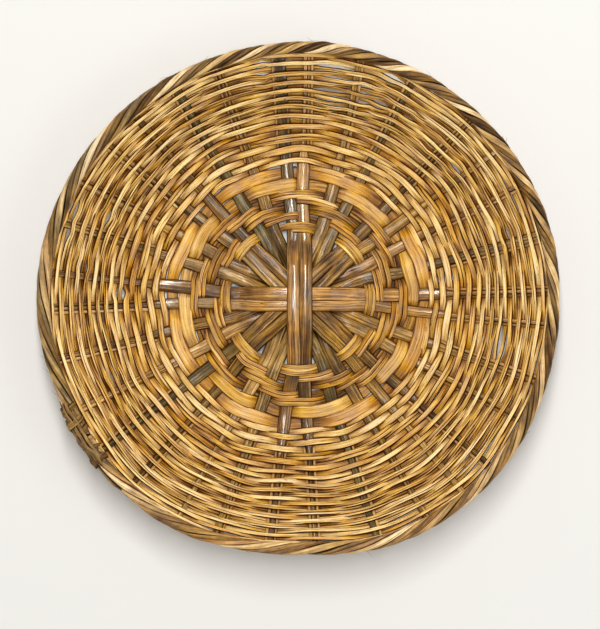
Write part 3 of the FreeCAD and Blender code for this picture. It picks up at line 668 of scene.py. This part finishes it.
def lay(mesh, rng, track, *, width, thick, tone, grey, over_w, mid_w, under_w, jitter, vary,
        share=1, common=0.0, under_shade=0.10, settle=0.0, slim=0.0):
    """Lay one row as a strip, or as a few (share) thinner ones side by side.

    over_w, mid_w, under_w scale the width over, between and under canes; slim narrows the
    upper passes in the wall; vary is width noise, jitter own drift, common shared drift;
    under_shade is painted shade and light, lower tone under canes and higher over them; settle
    slides lifted strands down the slope.
    """
    angle, radius, lift, over = track
    if share == 2:
        cuts = rng.uniform(0.35, 0.65, 1)
    else:
        cuts = np.linspace(0, 1, share + 1)[1:-1] + rng.normal(0, 0.04, share - 1)
    edges = np.concatenate([[0], cuts, [1]])
    run = np.radians(angle - angle[0]) * radius
    over_w = over_w - slim * ease(radius, 150, 195)
    scale = np.where(over > 0, blend(mid_w, over_w, smooth(over)),
                     blend(mid_w, under_w, smooth(-over)))
    width = width * scale * (1 + wobble(run, rng, 30, vary))
    drift = wobble(run, rng, 38, jitter) + common * shared_drift(angle, radius)
    flat = np.cos(np.arctan(slope(radius)))
    for lo, hi in zip(edges, edges[1:]):
        middle = (lo + hi) / 2 - 0.5
        r = radius + (drift + width * middle) * flat
        r = r + wobble(run, rng, 24, 0.10 if share > 1 else 0.04)
        rise = lift + wobble(run, rng, 30, 0.10)
        rise = rise + (rng.uniform(-0.15, 0.15) if share > 1 else 0)
        r = r + settle * rise * np.sin(np.arctan(slope(r)))
        points, normals = on_weave(r, angle, rise)
        # painted shade and light: darker where the strand dives under a cane, lighter where it
        # passes over
        shown = tone + rng.normal(0, 0.05) + wobble(run, rng, 42, 0.07) + under_shade * (over - 0.4)
        mesh.sweep(points, normals, width=width * (hi - lo),
                   thick=thick * (1 + rng.normal(0, 0.05)), section=STRIP, tone=shown,
                   grey=np.clip(grey + wobble(run, rng, 70, 0.05), 0, 1), seed=rng.random(),
                   roll=wobble(run, rng, 40, 0.07), ridge=0.06, rng=rng)


def build_hub_lashing():
    """Three turns over the upper four pairs and under the lower four."""
    thick = 1.7
    stops = []
    previous = -16.0
    for turn in range(3):
        for e in range(32):
            r = 66.2 + 3.3 * (turn + e / 32.0)
            angle = unwrap(cane_angle(e, r), previous + END_STEP)
            upper = PAIRS[ENDS[e].pair].layer >= 4
            inward = 1 if e % 2 == 0 else -1       # towards the other cane of the pair
            held = math.degrees(0.25 * cane_width(e, r) / r)
            stops.append(Stop(angle + inward * 0.5 * held, r, held,
                              lift_at(e, r, upper, thick), 1 if upper else -1))
            previous = angle
    mesh = Mesher()
    lay(mesh, rng_for("hub_lashing"), thread(stops), width=3.7, thick=thick, tone=0.60,
        grey=0.02, over_w=1.12, mid_w=0.9, under_w=0.95, jitter=0.15, vary=0.08)
    mesh.build("hub_lashing_look", TWILL_CANE, "hub_lashing")


# Closed over-two, under-two rows: name, radius, width, first end passed over, strips, tone
TWILL = [
    ("twill_row_1", 79.6, 7.2, 3, 2, 0.485), ("twill_row_2", 88.0, 9.8, 2, 2, 0.485),
    ("twill_row_3", 95.9, 7.2, 1, 2, 0.49), ("twill_row_4", 102.9, 8.2, 0, 2, 0.51),
    ("ribbon_inner", 112.4, 12.3, 3, 1, 0.555), ("ribbon_outer", 124.3, 12.6, 2, 1, 0.565)]


def build_twill_row(name, radius, width, first, share, tone):
    rng = rng_for(name)
    ribbon = name.startswith("ribbon")
    thick = 1.5 if ribbon else 1.6
    start = (first + 2) % 4
    stops = []
    previous = None
    for k in range(32):
        e = (start + k) % 32
        over = (e - first) % 4 < 2
        r = radius + rng.normal(0, 0.35)
        angle = cane_angle(e, radius)
        if previous is not None:
            angle = unwrap(angle, previous + END_STEP)
        held = math.degrees(0.40 * cane_width(e, radius) / radius)
        stops.append(Stop(angle, r, held, lift_at(e, radius, over, thick), 1 if over else -1))
        previous = angle
    # both ends of the row share the first cane
    half = math.degrees(0.42 * cane_width(start, radius) / radius)
    angle = stops[0].angle
    stops[0] = stops[0]._replace(angle=angle + 0.62 * half, radius=radius, held=0.3 * half)
    stops.append(stops[0]._replace(angle=angle + 360 - 0.5 * half, held=0.4 * half))
    mesh = Mesher()
    lay(mesh, rng, thread(stops, cross=8), width=width, thick=thick, tone=tone, grey=0.03,
        share=share, over_w=1.03 if ribbon else 1.06, mid_w=0.97, under_w=0.97, jitter=0.25,
        vary=0.05, common=0.5, under_shade=0.10 if ribbon else 0.12)
    mesh.build(name + "_look", RIBBON_CANE if ribbon else TWILL_CANE, name)


build_hub_lashing()
for row in TWILL:
    build_twill_row(*row)

# ------------------------------------------------------------------ wall
# A plain-weave spiral; ends 0 and 1 work as one group, so that the count is odd
GROUPS = [(0, 1)] + [(e, e) for e in range(2, 32)]
STRIP_CROSSINGS = 34                # crossings before a new weaver takes over


def wall_radius(turns):
    return np.interp(turns, WALL_TURNS, WALL_RADII)


def wall_pitch(r):
    """Distance between rows along the slope."""
    turns = np.interp(r, WALL_RADII, WALL_TURNS)
    step = wall_radius(turns + 0.5) - wall_radius(turns - 0.5)
    return np.maximum(step, 2.4) * np.sqrt(1 + slope(r) ** 2)


def loosen(r, angle):
    """Push rows away from the gaps; also returns how slack they are there."""
    moved, slack = r.copy(), 0 * r
    for gap_angle, span, gap_r, amount in GAPS:
        window = ease(apart(angle, gap_angle), span * 1.35, span * 0.20)
        x = (r - gap_r) / 3.0
        moved += (amount + 0.8) * window * np.tanh(x) * np.exp(-(x / 3.2) ** 2)
        slack = np.maximum(slack, window * np.exp(-(x / 1.7) ** 2) * min(1.0, amount / 1.5))
    return moved, slack


def group_span(group, r):
    """Middle angle and half angle of a group of canes with its side stakes."""
    first, last = GROUPS[group]
    before, after = (ENDS[first].stakes_ccw, ENDS[last].stakes_cw) if r > 138.0 else (0, 0)
    start = cane_angle(first, r)
    if group == 0:
        start = unwrap(start, 0)
    stop = unwrap(cane_angle(last, r), start)
    stake = STAKE_W + STAKE_GAP
    start = start - math.degrees((cane_width(first, r) / 2 + before * stake) / r)
    stop = stop + math.degrees((cane_width(last, r) / 2 + after * stake) / r)
    return (start + stop) / 2, (stop - start) / 2


def wall_stop(crossing):
    turn, group = divmod(crossing, len(GROUPS))
    rough_angle, _ = group_span(group, 200.0)
    r = float(wall_radius(turn + 0.48 + rough_angle / 360.0))
    angle, half = group_span(group, r)
    over = 1 if crossing % 2 == 1 else -1
    lift = over * (cane_thick(r) / 2 + 0.8 + STRAND_GAP)
    return Stop(angle + 360 * turn, r, 0.80 * half, lift, over)


def build_wall_weaver(name, first, last):
    rng = rng_for(name)
    stops = [wall_stop(crossing) for crossing in range(first, last + 1)]
    for i, sign in ((0, 1), (-1, -1)):
        stop = stops[i]
        stops[i] = stop._replace(angle=stop.angle + sign * 0.55 * stop.held,
                                 held=0.4 * stop.held)
    angle, r, lift, over = thread(stops)
    width = np.minimum(wall_pitch(r), 7.6)
    r, slack = loosen(r + 0.9 * ease(r, 222, 234), angle)
    width = width * (1 - slack * (0.22 + 0.16 * (over < 0.2)))
    pick = rng.random()
    share = 1 if pick < 0.38 else (2 if pick < 0.86 else 3)
    tone = 0.755 + rng.normal(0, 0.06) + 0.065 * ease(r, 185, 230)
    mesh = Mesher()
    lay(mesh, rng, (angle, r, lift, over), width=width, thick=1.75, tone=tone,
        grey=0.02 + 0.10 * rng.random(), share=share, over_w=1.12, mid_w=1.07, under_w=1.34,
        jitter=0.15, vary=0.09, common=0.85, settle=0.60, under_shade=0.12, slim=0.20)
    mesh.build(name + "_look", WEAVER_CANE, name)


crossings = int(WALL_TURNS[-1]) * len(GROUPS)
for index, first in enumerate(range(0, crossings, STRIP_CROSSINGS), 1):
    build_wall_weaver("wall_weaver_%02d" % index, first, min(first + STRIP_CROSSINGS, crossings))


# ------------------------------------------------------------------ rim
def rim_frame(angle):
    """Points on the rim line, with outward and clockwise directions."""
    a = np.radians(angle)
    step = 0.5
    r = rim_radius(angle)
    change = (rim_radius(angle + step) - rim_radius(angle - step)) / (2 * math.radians(step))
    points = np.stack([r * np.sin(a), r * np.cos(a), np.full_like(a, RIM_Z)], -1)
    along = np.stack([r * np.cos(a) + change * np.sin(a),
                      -r * np.sin(a) + change * np.cos(a), 0 * a], -1)
    along /= np.linalg.norm(along, axis=-1, keepdims=True)
    outward = np.stack([-along[..., 1], along[..., 0], 0 * a], -1)
    return points, outward, along


def tilt(outward, turn):
    """Direction turned from outward (0) towards up, in radians."""
    return outward * np.cos(turn)[..., None] + UP * np.sin(turn)[..., None]


# degrees of rim per full twist of the rope, every 45 degrees
TWIST_PITCH = [16, 19, 24, 26, 30, 34, 36, 26, 16.0]
# Strands of the rope: tone, greyness, angle filled in the section, its middle, strips
ROPE = [(0.82, 0.02, 78, 0, 1), (0.40, 0.30, 102, 90, 2),
        (0.67, 0.08, 86, 184, 1), (0.38, 0.32, 94, 274, 2)]


def build_rope():
    around = np.linspace(237.4, 237.4 + 359.2, 1700)
    rate = 360.0 / np.interp(around % 360, np.arange(0, 361, 45), TWIST_PITCH)
    steps = (rate[1:] + rate[:-1]) / 2 * np.diff(around)
    twist = 90 - np.concatenate([[0], np.cumsum(steps)])
    points, outward, _ = rim_frame(around)
    run = arc_length(points)
    rng = rng_for("rim")
    sway_out = wobble(run, rng, 55, 0.35)
    sway_up = wobble(run, rng, 60, 0.4)
    girth = 1 + wobble(run, rng, 45, 0.04) + 0.08 * ease(apart(around, 270), 70, 20)
    centre = points + outward * sway_out[:, None] + UP * sway_up[:, None]
    left = ease(apart(around, 278), 72, 32)
    bottom = ease(apart(around, 182), 62, 28)
    top = ease(apart(around, 5), 75, 45)
    across = np.linspace(-1, 1, 9)

    for k, (own_tone, own_grey, span, middle, strips) in enumerate(ROPE):
        name = "rim_strand_%d" % (k + 1)
        rng = rng_for(name)
        mesh = Mesher()
        # the strands differ most at the top and least at the bottom
        contrast = (0.80 + 0.20 * top) * (1 - 0.35 * left) * (1 - 0.50 * bottom)
        tone = 0.60 + (own_tone - 0.60) * contrast + 0.04 * bottom + 0.03 * left
        tone = tone + wobble(run, rng, 50, 0.07)
        grey = own_grey + 0.30 * left - 0.25 * bottom + wobble(run, rng, 60, 0.12)
        grey = np.clip(grey, 0, 1)
        cuts = np.linspace(-span / 2, span / 2, strips + 1)
        for j, (lo, hi) in enumerate(zip(cuts, cuts[1:])):
            mid = (lo + hi) / 2
            base = (twist + middle + wobble(run, rng, 40, 3.0))[:, None]
            opened = 1 + wobble(run, rng, 35, 0.05)
            outer_turn = base + mid + (hi - lo) / 2 * across * opened[:, None]
            bulge = 6.05 * girth + wobble(run, rng, 22, 0.26)
            outer_r = bulge[:, None] - 1.75 * (hi - lo) / 80.0 * np.abs(across) ** 2.6
            inner_turn = base + np.array([hi, mid, lo])
            inner_r = np.full((len(around), 3), 2.6)
            turn = np.radians(np.concatenate([inner_turn, outer_turn], 1))
            r = np.concatenate([inner_r, outer_r], 1)
            rings = centre[:, None, :] + tilt(outward[:, None, :], turn) * r[:, :, None]
            texture = np.concatenate([UNDER_SHIFT + np.array([8.0, 4.0, 0.0]),
                                      (across + 1) / 2 * (hi - lo) * 0.1])
            # edges between two strips of one strand get less painted edge shade than outer edges
            seam = np.where(across > 0, 0.86 if j + 1 < strips else 1.0, 0.86 if j > 0 else 1.0)
            edge = np.concatenate([[1, 1, 1], np.abs(across) * seam])
            mesh.grid(rings[:, ::-1, :], run * 1.05 + 700.0 * j + 3000 * k, texture[::-1],
                      tone + rng.normal(0, 0.06), grey, rng.random(), edge[::-1])
        mesh.build(name + "_look", RIM_CANE, name)


def build_hoop():
    """Hoop inside the rope."""
    points, _, _ = rim_frame(np.linspace(0, 359.9, 361))
    mesh = Mesher()
    mesh.sweep(points, UP, width=5.2, thick=5.2, section=ROUND, tone=0.2, grey=0.4, seed=0.37)
    mesh.build("rim_hoop_look", RIM_CANE, "rim_hoop")


def build_splice_strip(rng):
    """Five flat ends laid along the rim at the lower left."""
    mesh = Mesher()
    for k in range(5):
        start = (222.4 if k == 1 else 228.6) + rng.uniform(0, 1.6)
        angle = np.linspace(start, 248.2 - rng.uniform(0, 4), 80)
        points, outward, _ = rim_frame(angle)
        u = (angle - angle[0]) / (angle[-1] - angle[0])
        run = u * 70
        turn = math.radians(8 + 25 * k) - 0.55 * u + wobble(run, rng, 12, 0.08)
        r = 7.1 + 0.35 * np.sin(u * 11 + k) + wobble(run, rng, 10, 0.2)
        r = r - 1.3 * (1 - smooth(u * 9) * smooth((1 - u) * 9))
        facing = tilt(outward, turn)
        taper = np.sqrt(np.clip(u * 8, 0.05, 1)) * np.sqrt(np.clip((1 - u) * 8, 0.05, 1))
        mesh.sweep(points + facing * r[:, None], facing,
                   width=(3.6 + rng.normal(0, 0.3)) * taper, thick=1.8, section=STRIP,
                   tone=0.47 + rng.normal(0, 0.07), grey=0.40, seed=rng.random(), ridge=0.1,
                   rng=rng)
    mesh.build("rim_splice_strip_look", RIM_CANE, "rim_splice_strip")


# Turns around the splice: angle, size
LASHING = ((230.6, 1.1), (233.1, 0.7), (235.7, 1.0), (238.3, 0.75), (240.9, 1.15), (243.6, 0.85))


def build_splice_lashing(rng):
    """Knobbly turns around the rim that bulge outward."""
    mesh = Mesher()
    turn = np.linspace(0.15, 2 * math.pi * 1.02, 56)
    run = turn * 8
    for k, (start, size) in enumerate(LASHING):
        angle = start + 0.35 * np.sin(turn + k) + 0.45 * turn / math.pi
        points, outward, _ = rim_frame(angle)
        r = 6.0 + 2.5 * size * np.clip(np.cos(turn + 0.20), 0, 1) ** 1.3
        r = r + wobble(run, rng, 9, 0.15)
        facing = tilt(outward, turn)
        mesh.sweep(points + facing * r[:, None], facing,
                   width=7.4 + 1.6 * size + rng.normal(0, 0.8) + wobble(run, rng, 9, 0.8),
                   thick=2.4, section=HALF_ROUND, tone=0.38 + rng.normal(0, 0.08), grey=0.25,
                   seed=rng.random(), ridge=0.14,
                   roll=wobble(run, rng, 12, 0.12) + 0.20 * (k % 2 * 2 - 1), rng=rng)
    mesh.build("rim_splice_lashing_look", RIM_CANE, "rim_splice_lashing")


def build_loose_fibres():
    """24 hairs on the rim and 22 on the wall and base."""
    rng = rng_for("fibres")
    mesh = Mesher()
    t = np.linspace(0, 1, 9)[:, None]
    taper = 1 - 0.6 * t[:, 0]
    for k in range(46):
        angle = rng.uniform(0, 360)
        if k < 24:
            points, outward, along = (rows[0] for rows in rim_frame(np.array([angle])))
            root = points + tilt(outward, rng.uniform(-0.3, 1.6)) * 5.2
            heading = outward * rng.uniform(0.1, 0.8) \
                + along * rng.choice([-1, 1]) * rng.uniform(0.6, 1.2) + UP * rng.uniform(-0.2, 0.5)
        else:
            root, normal = on_weave(rng.uniform(120, 236), angle, 2.6)
            a = math.radians(angle)
            along = np.array([math.cos(a), -math.sin(a), 0])
            heading = along * rng.choice([-1, 1]) + normal * rng.uniform(0.05, 0.35)
        heading = heading / np.linalg.norm(heading)
        length = rng.uniform(5, 12)
        bend = rng.normal(0, 0.25, 3) * length
        mesh.sweep(root + heading * length * t + bend * t ** 2 * 0.5, np.array([0.1, 0.2, 1.0]),
                   width=0.34 * taper, thick=0.3 * taper, section=ROUND, tone=0.5, grey=0.3,
                   seed=rng.random())
    mesh.build("loose_fibres", LOOSE_FIBRE, slot="rim_pale")


build_rope()
build_hoop()
splice_rng = rng_for("splice")
build_splice_strip(splice_rng)
build_splice_lashing(splice_rng)
build_loose_fibres()

# ------------------------------------------------------------------ floor, light, camera
BACKDROP = (0.80, 0.80, 0.79, 1)
SOFT_WHITE = (1.0, 0.985, 0.96)


def floor_material():
    """Matt paper that fades into the backdrop far out, unless seen from straight above."""
    g = Nodes("floor_paper")
    geometry = g.add("ShaderNodeNewGeometry").outputs
    distance = g.add("ShaderNodeVectorMath", {0: geometry["Position"]},
                     operation="LENGTH").outputs["Value"]
    incoming = g.add("ShaderNodeSeparateXYZ", {"Vector": geometry["Incoming"]}).outputs[2]
    camera_ray = g.add("ShaderNodeLightPath").outputs["Is Camera Ray"]
    above = g.math("MULTIPLY", g.math("GREATER_THAN", incoming, 0.97), camera_ray)
    paper = g.add("ShaderNodeBsdfPrincipled", {
        "Base Color": (0.73, 0.73, 0.72, 1), "Roughness": 0.85, "Specular IOR Level": 0.2})
    far = g.math("MULTIPLY", g.remap(distance, 0.75, 2.5), camera_ray)
    far = g.math("MULTIPLY", far, g.math("SUBTRACT", 1.0, above))
    glow = g.add("ShaderNodeEmission", {"Color": BACKDROP, "Strength": 1.0})
    fade = g.add("ShaderNodeMixShader", {0: far, 1: paper.outputs[0], 2: glow.outputs[0]})
    g.add("ShaderNodeOutputMaterial", {0: fade.outputs[0]})
    return g.material


def build_floor():
    """Disc of 3 m radius just under the basket."""
    n = 180
    z = -0.0004
    angles = np.radians(np.arange(n) * 2.0)
    radii = np.concatenate([np.linspace(0.1, 0.5, 5), np.linspace(0.75, 3.0, 10)])
    points = [(0.0, 0.0, z)]
    for r in radii:
        points += [(float(r * math.sin(a)), float(r * math.cos(a)), z) for a in angles]
    faces = [(0, 1 + (i + 1) % n, 1 + i) for i in range(n)]
    for j in range(len(radii) - 1):
        p, q = 1 + j * n, 1 + (j + 1) * n
        faces += [(p + i, p + (i + 1) % n, q + (i + 1) % n, q + i) for i in range(n)]
    mesh = bpy.data.meshes.new("floor")
    mesh.from_pydata(points, [], faces)
    floor = link_object("floor", mesh)
    mesh.materials.append(floor_material())


def add_area(name, place, size, power, color):
    """Rectangular light aimed at the middle of the basket."""
    light = bpy.data.lights.new(name, "AREA")
    light.shape = "RECTANGLE"
    light.size, light.size_y = size
    light.energy = power
    light.color = color
    lamp = link_object(name, light)
    lamp.location = place
    lamp.rotation_mode = "QUATERNION"
    aim = Vector((0, 0, 0.03)) - Vector(place)
    lamp.rotation_quaternion = aim.to_track_quat("-Z", "Y")


def set_world():
    """Warm dim light; the camera sees the backdrop colour instead."""
    world = bpy.data.worlds.new("studio")
    bpy.context.scene.world = world
    world.use_nodes = True
    nodes, links = world.node_tree.nodes, world.node_tree.links
    warm = nodes["Background"]
    seen = nodes.new("ShaderNodeBackground")
    for node, color, strength in ((warm, (1.0, 0.945, 0.86, 1), 0.33), (seen, BACKDROP, 1.0)):
        node.inputs["Color"].default_value = color
        node.inputs["Strength"].default_value = strength
    path = nodes.new("ShaderNodeLightPath")
    pick = nodes.new("ShaderNodeMixShader")
    links.new(path.outputs["Is Camera Ray"], pick.inputs[0])
    links.new(warm.outputs[0], pick.inputs[1])
    links.new(seen.outputs[0], pick.inputs[2])
    links.new(pick.outputs[0], nodes["World Output"].inputs[0])


def add_camera():
    """Long lens above the basket, looking straight down."""
    lens = bpy.data.cameras.new("camera")
    lens.lens = 132.0
    lens.sensor_width = 36.0
    lens.clip_start, lens.clip_end = 0.05, 50
    camera = link_object("camera", lens)
    camera.location = (0.0014, -0.0162, 2.276)
    bpy.context.scene.camera = camera


build_floor()
add_area("key", place=(-0.03, 0.62, 2.5), size=(0.30, 1.7), power=58.0, color=SOFT_WHITE)
add_area("fill", place=(1.5, -0.3, 2.0), size=(1.2, 1.2), power=8.0, color=(0.96, 0.98, 1.0))
set_world()
for k, (x, y) in enumerate(((-1.9, -1.9), (1.9, -1.9), (1.9, 1.9), (-1.9, 1.9))):
    add_area("side_%d" % k, place=(x, y, 0.52), size=(1.6, 0.7), power=11.0, color=SOFT_WHITE)
add_camera()
bpy.context.scene.view_settings.view_transform = "Standard"
bpy.context.scene.view_settings.look = "None"
